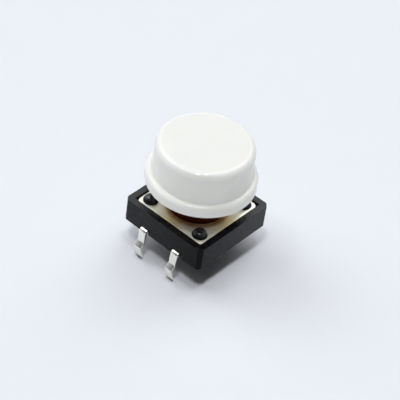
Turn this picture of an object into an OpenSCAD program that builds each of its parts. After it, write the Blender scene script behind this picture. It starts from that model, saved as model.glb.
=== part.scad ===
// Tactile push button switch: a square moulded housing with four kinked leads, a metal cover,
// a sprung plunger and a round cap pressed on its square stem.
// The origin is the centre of the housing's underside, where it seats on a circuit board. +Z is up.

/* [Housing] */
// Width and depth of the square housing
housing_w = 12; // [11.6:0.1:13]
// Height of the housing, from the seat to the top of the rim
housing_h = 3.15; // [3:0.05:4]
// Size of the cut on the four upright corners
corner_cut = 0.46; // [0.2:0.02:0.8]
// Width of the rim round the cover
rim_w = 0.88; // [0.6:0.02:1]
// How far the rim stands above the cover
rim_lip = 0.2; // [0.05:0.05:0.3]
// Distance of each post in from the rim's two inner faces
post_inset = 1.26; // [1.1:0.02:1.4]
// Diameter of a post where it passes the cover
post_d = 1.3; // [1:0.05:1.4]
// Diameter of a post's formed head
post_head_d = 1.86; // [1.6:0.02:2]
// Height of the upright side of a post's head
post_head_side = 0.06; // [0.02:0.01:0.25]
// Rise of the dome on a post's head
post_head_crown = 0.72; // [0.1:0.02:0.78]

/* [Cover] */
// Thickness of the cover
cover_t = 0.3; // [0.2:0.05:0.4]
// Radius of the cover's corners
cover_corner_r = 0.65; // [0.3:0.05:1]
// Gap between the cover and the rim, all round
cover_gap = 0.06; // [0.03:0.01:0.12]
// Gap between a post and its hole in the cover
post_gap = 0.04; // [0.02:0.01:0.08]

/* [Plunger] */
// Diameter of the round boss that comes through the cover
boss_d = 6.9; // [6.4:0.1:7.2]
// Height of the boss above the cover
boss_rise = 1.35; // [0.8:0.05:2.5]
// Round on the boss's top edge
boss_round = 0.15; // [0.05:0.05:0.4]
// Gap between the boss and the cover, measured on the radius
boss_gap = 0.1; // [0.06:0.01:0.15]
// Width across the square stem
stem_w = 3.8; // [3.2:0.1:4.2]
// Length of the stem above the boss
stem_h = 3; // [2:0.1:4]
// Radius of the stem's corners
stem_corner_r = 0.25; // [0.1:0.05:0.6]
// Width of the flange that holds the plunger under the cover
keeper_w = 0.5; // [0.35:0.05:0.6]
// Thickness of that flange
keeper_t = 0.85; // [0.5:0.05:0.95]
// Width of the two lugs that stop the plunger turning
lug_w = 1.6; // [1:0.1:2.4]
// Reach of the lugs past the flange
lug_reach = 0.6; // [0.3:0.05:0.65]
// Diameter of the nub that presses the contact dome
nub_d = 2.2; // [1.4:0.1:3]
// Gap round the flange and its lugs in the housing
keeper_gap = 0.15; // [0.1:0.01:0.2]

/* [Contact] */
// Travel of the button
travel = 0.3; // [0.2:0.05:0.35]
// Diameter of the sprung contact dome
dome_d = 5.9; // [5.4:0.1:6.1]
// Thickness of the contact dome
dome_t = 0.08; // [0.05:0.01:0.12]
// Gap round the contact dome in its pocket
dome_gap = 0.12; // [0.06:0.01:0.2]
// Diameter of a raised contact land
land_d = 1; // [0.8:0.05:1.2]
// Height of a contact land above the pocket's floor
land_rise = 0.06; // [0.03:0.01:0.1]

/* [Terminals] */
// Distance from the housing's side to the middle of a lead
lead_out = 0.25; // [0.2:0.01:0.5]
// Distance between the two strips, centre to centre
lead_pitch = 5; // [4.6:0.1:5.4]
// Width of a lead
lead_w = 1; // [0.7:0.05:1.1]
// Thickness of the strip
strip_t = 0.3; // [0.2:0.05:0.35]
// Height of the strip's underside above the seat
strip_z = 0.42; // [0.3:0.02:0.5]
// Thickness of moulding over the strips
strip_cover = 0.15; // [0.1:0.01:0.25]
// Length of a lead below the seat
lead_drop = 3.6; // [2.8:0.1:4.2]
// Depth below the seat of the kink's crest
kink_z = 1.65; // [1.4:0.05:1.9]
// Outward reach of the kink's crest
kink_out = 0.68; // [0.3:0.02:0.8]
// Height of the sloping part above the kink's crest
kink_run = 0.6; // [0.4:0.05:0.8]
// How far a lead leans out above the kink and comes back below it
lead_lean = 0.18; // [0:0.02:0.24]
// Radius of the bends, at the middle of the strip
bend_r = 0.35; // [0.25:0.05:0.4]
// Height of the chamfer on a lead's tip
tip_chamfer = 0.28; // [0.1:0.02:0.4]
// Depth of the notch in the housing's side round a lead
notch_depth = 0.4; // [0.2:0.05:0.5]
// Gap between a lead and the sides of its notch
notch_gap = 0.08; // [0.04:0.01:0.15]

/* [Cap] */
// Diameter of the cap just above its flange
cap_d = 11.76; // [11:0.1:12.4]
// Diameter of the cap at its top
cap_top_d = 11.56; // [10.8:0.1:12]
// Height of the cap from the foot of the flange to the top
cap_h = 5.68; // [4.8:0.1:7]
// Round on the cap's top edge
cap_round = 0.8; // [0.3:0.02:0.9]
// Diameter of the cap's flange
flange_d = 13.12; // [12.8:0.1:14]
// Height of the cap's flange
flange_h = 1.48; // [1:0.05:1.8]
// Round on the upper edge of the flange
flange_round = 0.5; // [0.2:0.05:0.6]
// Round on the lower edge of the flange
flange_foot_round = 0.12; // [0.05:0.01:0.2]
// Thickness of the cap's side wall
cap_wall = 0.95; // [0.7:0.05:1.3]
// Thickness of the cap's top
cap_top_t = 1.1; // [0.8:0.05:1.5]
// Distance that the socket neck reaches below the flange
neck_drop = 2.28; // [1:0.05:3]
// Wall of the socket neck
neck_wall = 0.78; // [0.6:0.02:0.9]
// Radius of the neck's outer corners
neck_corner_r = 0.5; // [0.2:0.05:0.8]
// Gap between the stem and its socket
socket_gap = 0.02; // [0:0.01:0.05]
// Thickness of the ribs between the neck and the wall
rib_t = 0.7; // [0.5:0.05:1]
// Distance from the foot of the flange up to the ribs
rib_start = 0.9; // [0.5:0.05:1.5]

/* [Hidden] */
$fn = 96;

// Solids that are cut away run past the faces they open by this much
past = 1;
// Steps in a small round
round_steps = 8;

// Levels, from the seat up
strip_top = strip_z + strip_t;
pocket_floor = strip_top + strip_cover;
land_top = pocket_floor + land_rise;
// Play left between the dome and the centre contact at full travel, and between the nub and the dome
contact_play = 0.02;
dome_rise = travel + contact_play;
nub_end = land_top + dome_rise + dome_t + contact_play;
cover_top = housing_h - rim_lip;
cover_floor = cover_top - cover_t;
keeper_bottom = cover_floor - keeper_t;
// Room under the flange at full travel
keeper_room = 0.25;
cavity_floor = keeper_bottom - travel - keeper_room;
boss_top = cover_top + boss_rise;
cap_foot = boss_top + neck_drop;
cap_top = cap_foot + cap_h;

// Plan sizes
recess_w = housing_w - 2 * rim_w;
cover_w = recess_w - 2 * cover_gap;
post_place = recess_w / 2 - post_inset;
boss_r = boss_d / 2;
cover_hole_r = boss_r + boss_gap;
keeper_r = boss_r + keeper_w;
pocket_r = dome_d / 2 + dome_gap;
// The outer lands and the moulded rests stand under the rim of the dome, this far in from its edge
land_inset = 0.33;
land_place = dome_d / 2 - land_inset;
notch_w = lead_w + 2 * notch_gap;
notch_top = strip_top + notch_gap;
socket_w = stem_w + 2 * socket_gap;
neck_w = socket_w + 2 * neck_wall;
cap_bore_r = cap_top_d / 2 - cap_wall;
// The flange is hollowed from below to about the thickness of the cap's wall
flange_bore_r = flange_d / 2 - cap_wall;
ceiling = cap_top - cap_top_t;

// Points along a round in the upright plane, from angle a0 to a1 about a centre
function arc(cx, cz, r, a0, a1, steps = round_steps) =
    [for (i = [0:steps]) let (a = a0 + (a1 - a0) * i / steps) [cx + r * cos(a), cz + r * sin(a)]];

function unit(v) = v / norm(v);
function left_of(v) = [-v[1], v[0]];
function reversed(list) = [for (i = [len(list) - 1:-1:0]) list[i]];

// A path's point i moved sideways by d, along the mitre of the two runs that meet there
function beside(path, i, d) =
    let (last = len(path) - 1)
    let (before = unit(path[max(i, 1)] - path[max(i, 1) - 1]))
    let (after = unit(path[min(i, last - 1) + 1] - path[min(i, last - 1)]))
    let (mitre = unit(left_of(before) + left_of(after)))
    path[i] + mitre * d / (mitre * left_of(after));

// Outline of a strip of thickness t bent along a path
function strip_outline(path, t) =
    concat([for (i = [0:len(path) - 1]) beside(path, i, t / 2)],
           reversed([for (i = [0:len(path) - 1]) beside(path, i, -t / 2)]));

// Path of one half of a strip, from the middle of the switch to the tip of the lead on +X
lead_x = housing_w / 2 + lead_out;
tip_x = lead_x + lead_lean;
strip_mid = strip_z + strip_t / 2;
half_path = concat(
    [[0, strip_mid]],
    arc(lead_x - bend_r, strip_mid - bend_r, bend_r, 90, 0),
    [[tip_x, -kink_z + kink_run],
     [lead_x + kink_out, -kink_z],
     [tip_x, -lead_drop]]);

module rounded_square(w, r) {
    square([w - 2 * r, w], center = true);
    square([w, w - 2 * r], center = true);
    for (x = [-1, 1], y = [-1, 1])
        translate([x * (w / 2 - r), y * (w / 2 - r)])
            circle(r);
}

// The upright corners of the housing are cut at 45 degrees
module housing_plan() {
    h = housing_w / 2;
    c = h - corner_cut;
    polygon([[h, c], [c, h], [-c, h], [-h, c], [-h, -c], [-c, -h], [c, -h], [h, -c]]);
}

module at_corners(place) {
    for (x = [-1, 1], y = [-1, 1])
        translate([x * place, y * place, 0])
            children();
}

// A post through the cover with its formed head
module post() {
    r = post_head_d / 2;
    h = cover_top + post_head_side;
    crown_r = (r * r + post_head_crown * post_head_crown) / (2 * post_head_crown);
    half_angle = asin(r / crown_r);
    translate([0, 0, cover_floor - past / 2])
        cylinder(d = post_d, h = cover_t + past / 2);
    rotate_extrude()
        polygon(concat([[0, cover_top], [r, cover_top]],
                       arc(0, h + post_head_crown - crown_r, crown_r, 90 - half_angle, 90)));
}

// Flange of the plunger with its two lugs, grown by a gap where it is a cut in the housing
module keeper_plan(gap) {
    circle(keeper_r + gap);
    square([2 * (keeper_r + lug_reach + gap), lug_w + 2 * gap], center = true);
}

module lead_notch() {
    depth = notch_depth + past;
    translate([housing_w / 2 - notch_depth, -notch_w / 2, -past])
        cube([depth, notch_w, notch_top + past]);
}

module housing() {
    color("#2b2c2f")
    difference() {
        union() {
            difference() {
                linear_extrude(housing_h)
                    housing_plan();
                translate([-recess_w / 2, -recess_w / 2, cover_floor])
                    cube([recess_w, recess_w, housing_h]);
                translate([0, 0, cavity_floor])
                    linear_extrude(cover_floor - cavity_floor + cover_t / 2)
                        keeper_plan(keeper_gap);
                translate([0, 0, pocket_floor])
                    cylinder(r = pocket_r, h = cover_floor - pocket_floor);
            }
            at_corners(post_place)
                post();
            // Moulded rests for the dome, between the two outer lands
            for (y = [-1, 1])
                translate([0, y * land_place, pocket_floor - strip_cover / 2])
                    cylinder(d = land_d, h = land_rise + strip_cover / 2);
        }
        terminal_centre_shape();
        terminal_outer_shape();
        for (side = [0, 180], y = [-1, 1])
            rotate([0, 0, side])
                translate([0, y * lead_pitch / 2, 0])
                    lead_notch();
    }
}

module cover() {
    color("#c9c3b0")
    translate([0, 0, cover_floor])
        linear_extrude(cover_t)
            difference() {
                rounded_square(cover_w, cover_corner_r);
                circle(cover_hole_r);
                for (x = [-1, 1], y = [-1, 1])
                    translate([x * post_place, y * post_place])
                        circle(d = post_d + 2 * post_gap);
            }
}

module plunger() {
    color("#3a1c10") {
        // Nub, flange and boss
        translate([0, 0, nub_end])
            cylinder(d = nub_d, h = keeper_bottom - nub_end + keeper_t / 2);
        translate([0, 0, keeper_bottom])
            linear_extrude(keeper_t)
                keeper_plan(0);
        rotate_extrude()
            polygon(concat([[0, keeper_bottom], [boss_r, keeper_bottom]],
                           arc(boss_r - boss_round, boss_top - boss_round, boss_round, 0, 90),
                           [[0, boss_top]]));
        // Square stem with rounded corners
        translate([0, 0, boss_top - boss_round])
            linear_extrude(stem_h + boss_round)
                rounded_square(stem_w, stem_corner_r);
    }
}

// Half section of the cap's outside, from the foot of the flange to the middle of the top
function cap_outside() =
    let (rf = flange_d / 2, rt = cap_top_d / 2, zf = cap_foot + flange_h)
    concat(arc(rf - flange_foot_round, cap_foot + flange_foot_round, flange_foot_round, -90, 0),
           arc(rf - flange_round, zf - flange_round, flange_round, 0, 90),
           [[cap_d / 2, zf]],
           arc(rt - cap_round, cap_top - cap_round, cap_round, 0, 90),
           [[0, cap_top]]);

module cap() {
    inner_step = cap_foot + rib_start;
    color("#f4f3ef")
    difference() {
        union() {
            rotate_extrude()
                polygon(concat([[0, ceiling], [cap_bore_r, ceiling], [cap_bore_r, inner_step],
                                [flange_bore_r, inner_step - (flange_bore_r - cap_bore_r)],
                                [flange_bore_r, cap_foot]],
                               cap_outside()));
            // Socket neck
            translate([0, 0, boss_top])
                linear_extrude(ceiling - boss_top + cap_top_t / 2)
                    rounded_square(neck_w, neck_corner_r);
            // Ribs from the neck to the wall
            for (turn = [0, 90])
                rotate([0, 0, turn])
                    translate([-cap_bore_r - cap_wall / 2, -rib_t / 2, inner_step])
                        cube([2 * cap_bore_r + cap_wall, rib_t, ceiling - inner_step + cap_top_t / 2]);
        }
        // Square socket, open at the neck's end
        translate([0, 0, boss_top - past])
            linear_extrude(ceiling - boss_top + past)
                rounded_square(socket_w, stem_corner_r);
    }
}

module contact_dome() {
    r = dome_d / 2;
    sphere_r = (r * r + dome_rise * dome_rise) / (2 * dome_rise);
    half_angle = asin(r / sphere_r);
    centre_z = land_top + dome_rise - sphere_r;
    steps = 24;
    color("#c8c8c4")
    rotate_extrude()
        polygon(concat(arc(0, centre_z, sphere_r, 90, 90 - half_angle, steps),
                       arc(0, centre_z, sphere_r + dome_t, 90 - half_angle, 90, steps)));
}

// A strip with a lead at both ends; the tips are chamfered on the outside
module lead_strip() {
    left_path = [for (p = half_path) [-p[0], p[1]]];
    path = concat(reversed(left_path), [for (i = [1:len(half_path) - 1]) half_path[i]]);
    rotate([90, 0, 0])
        linear_extrude(lead_w, center = true)
            difference() {
                polygon(strip_outline(path, strip_t));
                // From the middle of the tip up to twice the chamfer's height at twice its depth
                for (side = [-1, 1])
                    polygon([[side * tip_x, -lead_drop],
                             [side * (tip_x + strip_t), -lead_drop - past],
                             [side * (tip_x + strip_t), -lead_drop + 2 * tip_chamfer]]);
            }
}

// A flat arm at the strip's level, from y0 to y1
module arm(x, y0, y1) {
    translate([x - lead_w / 2, min(y0, y1), strip_z])
        cube([lead_w, abs(y1 - y0), strip_t]);
}

// A contact land standing up from the strip's level
module land(x, y) {
    translate([x, y, strip_z])
        cylinder(d = land_d, h = land_top - strip_z);
}

module terminal_centre_shape() {
    translate([0, lead_pitch / 2, 0])
        lead_strip();
    arm(0, 0, lead_pitch / 2);
    land(0, 0);
}

module terminal_outer_shape() {
    translate([0, -lead_pitch / 2, 0])
        lead_strip();
    for (side = [-1, 1]) {
        arm(side * land_place, -lead_pitch / 2, 0);
        land(side * land_place, 0);
    }
}

module terminal_centre() {
    color("#d8d8d4")
        terminal_centre_shape();
}

module terminal_outer() {
    color("#d8d8d4")
        terminal_outer_shape();
}

housing();
cover();
plunger();
cap();
contact_dome();
terminal_centre();
terminal_outer();
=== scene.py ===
"""Looks of a tactile push button switch: black moulded housing, metal cover, sprung plunger,
round white key cap and four kinked leads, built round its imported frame."""

import math
from types import SimpleNamespace

import bmesh
import bpy
from mathutils import Matrix, Quaternion, Vector


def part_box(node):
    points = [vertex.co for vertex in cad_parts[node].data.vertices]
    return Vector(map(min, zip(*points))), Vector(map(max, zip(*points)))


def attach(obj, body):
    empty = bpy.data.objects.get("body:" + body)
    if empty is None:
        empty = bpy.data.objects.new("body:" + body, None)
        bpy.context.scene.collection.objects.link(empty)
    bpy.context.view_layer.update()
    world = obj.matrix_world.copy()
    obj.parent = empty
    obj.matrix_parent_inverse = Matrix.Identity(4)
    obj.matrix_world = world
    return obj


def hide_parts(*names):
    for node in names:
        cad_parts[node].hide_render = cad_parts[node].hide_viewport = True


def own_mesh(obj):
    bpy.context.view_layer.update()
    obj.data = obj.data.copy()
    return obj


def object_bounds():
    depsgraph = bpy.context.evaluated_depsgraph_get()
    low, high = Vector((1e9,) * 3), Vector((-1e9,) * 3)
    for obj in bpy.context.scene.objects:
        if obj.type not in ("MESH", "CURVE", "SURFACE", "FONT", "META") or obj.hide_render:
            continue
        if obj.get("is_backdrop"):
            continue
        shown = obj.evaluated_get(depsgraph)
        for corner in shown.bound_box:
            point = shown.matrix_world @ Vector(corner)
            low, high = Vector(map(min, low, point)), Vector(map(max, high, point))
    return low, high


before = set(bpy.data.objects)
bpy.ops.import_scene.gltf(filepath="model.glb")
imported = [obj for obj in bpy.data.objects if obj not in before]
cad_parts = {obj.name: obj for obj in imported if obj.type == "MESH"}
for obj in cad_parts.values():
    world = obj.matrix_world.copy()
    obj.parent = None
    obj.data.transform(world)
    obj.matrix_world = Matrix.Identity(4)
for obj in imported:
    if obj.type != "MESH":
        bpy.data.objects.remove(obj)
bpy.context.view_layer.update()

bl_info = {
    "name": "Tactile push button switch",
    "version": (1, 0, 0),
    "blender": (4, 5, 0),
    "location": "3D View > Sidebar > Switch",
    "description": "Builds a square push button switch with a round key cap, piece by piece",
    "category": "Add Mesh",
}

# Pieces are built in millimetres and brought to metres when they are finished
METRES_PER_MM = 0.001
# Solids that cut run past the faces they open by this much, in millimetres, and by less where they
# meet inside the piece
PAST, PAST_INSIDE = 0.5, 0.125
# Points nearer than this are one point, in millimetres
WELD = 0.0004
# Steps round a whole circle, round a small one, in a round, and along the section of a sprung dome
CIRCLE_STEPS, SMALL_STEPS, ROUND_STEPS, DOME_STEPS = 128, 64, 6, 24
# Round on the edge of a contact land or a rest, and of the cap's neck, in millimetres
LAND_ROUND, NECK_ROUND = 0.02, 0.05
# Edges that turn more than this stay crisp
CRISP_ANGLE = math.radians(32)


def mm(metres):
    return metres / METRES_PER_MM


def cad_box(node):
    """Lowest and highest corner of a CAD node, in millimetres."""
    low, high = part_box(node)
    return low / METRES_PER_MM, high / METRES_PER_MM


HOUSING_LOW, HOUSING_HIGH = cad_box("housing")
COVER_LOW, COVER_HIGH = cad_box("cover")
PLUNGER_LOW, PLUNGER_HIGH = cad_box("plunger")
CAP_LOW, CAP_HIGH = cad_box("cap")
DOME_LOW, DOME_HIGH = cad_box("contact_dome")
STRIP_LOW, _ = cad_box("terminal_centre")


# ---------------------------------------------------------------- properties


def length(name, description, millimetres):
    """A size, given in millimetres and kept in metres."""
    return bpy.props.FloatProperty(
        name=name,
        description=description,
        default=millimetres * METRES_PER_MM,
        min=0.0,
        unit="LENGTH",
        precision=6,
    )


def colour(name, description, value):
    return bpy.props.FloatVectorProperty(
        name=name, description=description, default=value, size=3, min=0.0, max=1.0, subtype="COLOR"
    )


def share(name, description, value):
    return bpy.props.FloatProperty(
        name=name, description=description, default=value, min=0.0, max=1.0, subtype="FACTOR"
    )


def amount(name, description, value):
    return bpy.props.FloatProperty(name=name, description=description, default=value, min=0.0)


def angle(name, description, degrees):
    turn = math.radians(degrees)
    return bpy.props.FloatProperty(
        name=name, description=description, default=turn, unit="ROTATION", subtype="ANGLE"
    )


class HousingSizes(bpy.types.PropertyGroup):
    width: length("Width", "Width and depth of the housing", HOUSING_HIGH.x - HOUSING_LOW.x)
    height: length("Height", "Height of the rim above the seat", 3.15)
    corner_cut: length("Corner cut", "Size of the cut on the upright corners", 0.46)
    corner_soft: length("Corner softness", "Round where a corner cut meets a side", 0.08)
    edge_round: length("Edge round", "Round along the outer edges", 0.07)
    rim: length("Rim", "Width of the rim round the cover", 0.88)
    rim_chamfer: length("Rim chamfer", "Chamfer on the rim's inner edge", 0.05)
    cavity_radius: length("Chamber radius", "Radius of the chamber where the plunger slides", 4.1)
    cavity_floor: length("Chamber floor", "Height of the chamber's floor", 1.25)
    slot_reach: length("Slot reach", "Reach of the two slots for the plunger's lugs", 4.7)
    slot_width: length("Slot width", "Width of the slots for the lugs", 1.9)
    pocket_radius: length("Pocket radius", "Radius of the contact dome's pocket", 3.07)
    pocket_floor: length("Pocket floor", "Height of the pocket's floor", 0.87)
    rest_rise: length("Rest rise", "Height of the moulded rests under the dome", 0.06)
    rest_place: length("Rest place", "Distance of a rest from the middle", 2.62)
    post_place: length("Post place", "Distance of a post from both middle planes", 3.86)
    post_diameter: length("Post diameter", "Diameter of a post where it passes the cover", 1.3)
    head_diameter: length("Head diameter", "Diameter of a post's formed head", 1.86)
    head_side: length("Head side", "Height of the upright side of a head", 0.06)
    head_crown: length("Head crown", "Rise of the dome on a head", 0.72)
    notch_depth: length("Notch depth", "Depth of the notch round a lead", 0.4)
    notch_width: length("Notch width", "Width of the notch round a lead", 1.16)
    notch_top: length("Notch top", "Height of the notch's top above the seat", 0.8)


class CoverSizes(bpy.types.PropertyGroup):
    width: length("Width", "Width and depth of the cover", COVER_HIGH.x - COVER_LOW.x)
    corner_radius: length("Corner radius", "Radius of the cover's corners", 0.65)
    hole_radius: length("Hole radius", "Radius of the hole round the plunger", 3.55)
    post_hole: length("Post hole", "Diameter of the holes for the posts", 1.38)
    edge_round: length("Edge round", "Round left along the stamped edges", 0.11)


class PlungerSizes(bpy.types.PropertyGroup):
    boss_radius: length("Boss radius", "Radius of the boss that comes through the cover", 3.45)
    boss_top: length("Boss top", "Height of the boss above the seat", CAP_LOW.z)
    boss_round: length("Boss round", "Round on the boss's top edge", 0.15)
    stem_width: length("Stem width", "Width across the square stem", 3.8)
    stem_corner: length("Stem corner", "Radius of the stem's corners", 0.25)
    flange_radius: length("Flange radius", "Radius of the flange under the cover", 3.95)
    flange_bottom: length("Flange bottom", "Height of the flange's underside", 1.8)
    flange_top: length("Flange top", "Height of the flange's top", COVER_LOW.z)
    lug_reach: length("Lug reach", "Reach of the two lugs from the middle", 4.55)
    lug_width: length("Lug width", "Width of a lug", 1.6)
    nub_radius: length("Nub radius", "Radius of the nub over the dome", 1.1)
    edge_round: length("Edge round", "Round on the moulded edges", 0.05)


class CapSizes(bpy.types.PropertyGroup):
    foot: length("Foot", "Height of the flange's foot above the seat", 6.58)
    flange_radius: length("Flange radius", "Radius of the cap's flange", CAP_HIGH.x)
    flange_height: length("Flange height", "Height of the flange", 1.48)
    flange_round: length("Flange round", "Round on the flange's upper edge", 0.5)
    foot_round: length("Foot round", "Round on the flange's lower edge", 0.12)
    inner_round: length("Inner round", "Small round where the side rises from the flange", 0.11)
    side_radius: length("Side radius", "Radius of the cap just above its flange", 5.88)
    top_radius: length("Top radius", "Radius of the cap at its top", 5.78)
    top_round: length("Top round", "Round on the cap's top edge", 0.8)
    bore_radius: length("Bore radius", "Radius inside the cap", 4.83)
    flange_bore: length("Flange bore", "Radius inside the flange", 5.61)
    step: length("Step", "Distance from the foot up to the narrower bore", 0.9)
    ceiling: length("Ceiling", "Thickness of the cap's top", 1.1)
    neck_width: length("Neck width", "Width across the square socket neck", 5.4)
    neck_corner: length("Neck corner", "Radius of the neck's outer corners", 0.5)
    socket_width: length("Socket width", "Width across the square socket", 3.84)
    rib_width: length("Rib width", "Thickness of the ribs inside the cap", 0.7)
    ribs: bpy.props.IntProperty(
        name="Ribs", description="Ribs between the neck and the wall", default=4, min=1
    )


class LeadSizes(bpy.types.PropertyGroup):
    pitch: length("Pitch", "Distance between the two strips", 5.0)
    width: length("Width", "Width of the strip", 1.0)
    thickness: length("Thickness", "Thickness of the strip", 0.3)
    edge_round: length("Edge round", "Round on the strip's edges", 0.045)
    middle: length("Strip height", "Height of the strip's middle above the seat", 0.57)
    reach: length("Reach", "Distance of an upright lead from the middle of the switch", 6.25)
    lean: length("Lean", "How far a lead leans out above the kink", 0.18)
    kink_out: length("Kink reach", "Outward reach of the kink's crest", 0.68)
    kink_depth: length("Kink depth", "Depth of the kink's crest below the seat", 1.65)
    kink_run: length("Kink run", "Height of the slope above the crest", 0.6)
    drop: length("Drop", "Length of a lead below the seat", -STRIP_LOW.z)
    bend_radius: length("Bend radius", "Radius of the bend at the housing's side", 0.35)
    kink_radius: length("Kink radius", "Radius of the kink's bends", 0.14)
    tip_chamfer: length("Tip chamfer", "Height of the chamfer on a tip", 0.28)
    land_diameter: length("Land diameter", "Diameter of a raised contact land", 1.0)
    land_top: length("Land top", "Height of a contact land above the seat", 0.93)
    land_place: length("Land place", "Distance of an outer land from the middle", 2.62)


class DomeSizes(bpy.types.PropertyGroup):
    radius: length("Radius", "Radius of the contact dome", DOME_HIGH.x)
    rise: length("Rise", "Height of the dome's crown above its rim", 0.32)
    thickness: length("Thickness", "Thickness of the dome", 0.08)
    share_pressed: share("Pressed share", "Share of its height that the dome keeps when pressed", 0.3)


class Finishes(bpy.types.PropertyGroup):
    nylon: colour("Nylon", "Colour of the black housing", (0.0018, 0.0019, 0.0022))
    nylon_worn: colour("Nylon edges", "Colour along the housing's edges", (0.005, 0.0052, 0.006))
    nylon_roughness: share("Nylon roughness", "Roughness of the housing", 0.26)
    plate: colour("Plating", "Colour of the cover's plating", (0.98, 0.94, 0.80))
    # Painted reflection: the gold of the plunger and the cap's underside seen in the cover, painted at
    # the middle of each side
    plate_warm: colour("Warm plating", "Colour of the plating where it is warmer", (0.97, 0.76, 0.40))
    # Painted reflection: the brown of the plunger seen in the cover, painted round its hole
    plate_painted_reflection: colour("Cover tarnish", "Colour of the cover round its hole", (0.52, 0.25, 0.055))
    plate_roughness: share("Plating roughness", "Roughness of the cover", 0.38)
    brown: colour("Plunger", "Colour of the plunger", (0.055, 0.0075, 0.0025))
    brown_roughness: share("Plunger roughness", "Roughness of the plunger", 0.3)
    white: colour("Cap", "Colour of the key cap", (0.85, 0.85, 0.80))
    white_shade: colour("Cap shade", "Slightly deeper tone in the key cap", (0.835, 0.835, 0.785))
    white_roughness: share("Cap roughness", "Roughness of the key cap", 0.085)
    tin: colour("Tin", "Colour of the tinned leads", (0.93, 0.91, 0.85))
    tin_dull: colour("Dull tin", "Colour of the tin where it is dull", (0.86, 0.84, 0.775))
    tin_roughness: share("Tin roughness", "Roughness of the leads", 0.11)
    # Partly painted shade: the cut ends are bare metal, painted much darker for the shade and dark
    # reflections at the tips
    bare_steel: colour("Cut ends", "Colour of the bare metal at the cut lead ends", (0.16, 0.13, 0.11))
    steel: colour("Spring steel", "Colour of the contact dome", (0.62, 0.62, 0.60))
    steel_roughness: share("Steel roughness", "Roughness of the contact dome", 0.2)


class StageSettings(bpy.types.PropertyGroup):
    azimuth: angle("View azimuth", "Bearing of the camera round the switch", -53.593)
    elevation: angle("View elevation", "Height of the camera above the horizon", 42.268)
    roll: angle("View roll", "Turn of the camera about its own axis", 8.661)
    lens: bpy.props.FloatProperty(
        name="Lens", description="Focal length of the camera", default=156.773, min=1.0, unit="CAMERA"
    )
    distance: length("View distance", "Distance from the camera to the point it looks at", 203.363)
    aim: bpy.props.FloatVectorProperty(
        name="Aim",
        description="Point that the camera looks at",
        default=Vector((0.1516, -0.2055, 3.3934)) * METRES_PER_MM,
        size=3,
        subtype="TRANSLATION",
        unit="LENGTH",
        precision=6,
    )
    floor_colour: colour("Floor", "Colour of the floor", (0.795, 0.815, 0.845))
    backdrop_colour: colour("Backdrop", "Colour of the backdrop", (0.835, 0.870, 0.925))
    floor_radius: length("Floor radius", "Radius of the floor", 1500.0)
    dim_bearing: angle("Dim side", "Bearing of the room's dim side from +X", -167.0)
    dim_height: angle("Dim height", "Height of the middle of the room's dim side", 28.0)
    dim_share: share("Dim share", "Brightness of the room's dim side, as a share of the rest", 0.25)
    small_light: amount("Small lamp", "Light on the floor from the lamp at the front left", 0.23)
    second_light: amount("Second small lamp", "Light on the floor from the lamp overhead", 0.14)
    third_light: amount("Third small lamp", "Light on the floor from the lamp at the left", 0.05)
    top_light: amount("Overhead panel", "Light on the floor from the panel overhead", 0.30)
    left_light: amount("Left panel", "Light on the floor from the panel at the left", 0.12)
    back_left_light: amount("Back left panel", "Light on the floor from the back left panel", 0.075)
    back_right_light: amount("Back right panel", "Light on the floor from the high right panel", 0.14)
    right_light: amount("Right panel", "Light on the floor from the low right panel", 0.10)
    fill_light: amount("Fill light", "Soft light from the surroundings", 0.01)
    glow_light: amount("Glow light", "Soft light from the surroundings at the height of the table", 1.25)
    glow_height: share("Glow height", "Height of the glow, as the sine of its angle", 0.25)


# ---------------------------------------------------------------- outlines and meshes


def in_mm(group):
    """A property group's lengths in millimetres, and its other values as they are."""
    values = {}
    for prop in group.bl_rna.properties:
        if prop.identifier in {"rna_type", "name"}:
            continue
        value = getattr(group, prop.identifier)
        values[prop.identifier] = mm(value) if getattr(prop, "unit", "") == "LENGTH" else value
    return SimpleNamespace(**values)


def arc(cx, cz, radius, start, end, steps=ROUND_STEPS):
    """Points along a round, from one angle to another in degrees."""
    turns = [math.radians(start + (end - start) * i / steps) for i in range(steps + 1)]
    return [(cx + radius * math.cos(a), cz + radius * math.sin(a)) for a in turns]


def circle(x, y, radius, steps=CIRCLE_STEPS):
    return arc(x, y, radius, 0, 360, steps)[:-1]


def rounded_rectangle(half_x, half_y, radius, steps=ROUND_STEPS):
    """Outline of a rectangle about the middle with round corners, anticlockwise."""
    x, y = half_x - radius, half_y - radius
    corners = [(x, y, 0), (-x, y, 90), (-x, -y, 180), (x, -y, 270)]
    return [p for cx, cy, a in corners for p in arc(cx, cy, radius, a, a + 90, steps)]


def rectangle(x0, y0, x1, y1):
    return [(x0, y0), (x1, y0), (x1, y1), (x0, y1)]


def softened(outline, radius, steps=2):
    """An outline with each corner replaced by a short curve."""
    points = []
    for i, corner in enumerate(outline):
        before, here = Vector(outline[i - 1]), Vector(corner)
        after = Vector(outline[(i + 1) % len(outline)])
        start = here + (before - here).normalized() * radius
        end = here + (after - here).normalized() * radius
        for k in range(steps + 1):
            t = k / steps
            points.append(tuple(start * (1 - t) ** 2 + here * 2 * t * (1 - t) + end * t**2))
    return points


def link(obj):
    bpy.context.scene.collection.objects.link(obj)
    return obj


def evaluated_mesh(obj):
    """The plain mesh that an object's curve or modifiers give. The object goes."""
    bpy.context.view_layer.update()
    graph = bpy.context.evaluated_depsgraph_get()
    mesh = bpy.data.meshes.new_from_object(obj.evaluated_get(graph))
    bpy.data.objects.remove(obj)
    return mesh


def edited(mesh, *steps):
    """A mesh after each bmesh step in turn."""
    bm = bmesh.new()
    bm.from_mesh(mesh)
    for step in steps:
        step(bm)
    bm.to_mesh(mesh)
    bm.free()
    return mesh


def weld(bm):
    bmesh.ops.remove_doubles(bm, verts=bm.verts, dist=WELD)
    bmesh.ops.dissolve_degenerate(bm, edges=bm.edges, dist=WELD)


def face_outwards(bm):
    bmesh.ops.recalc_face_normals(bm, faces=bm.faces)


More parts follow.
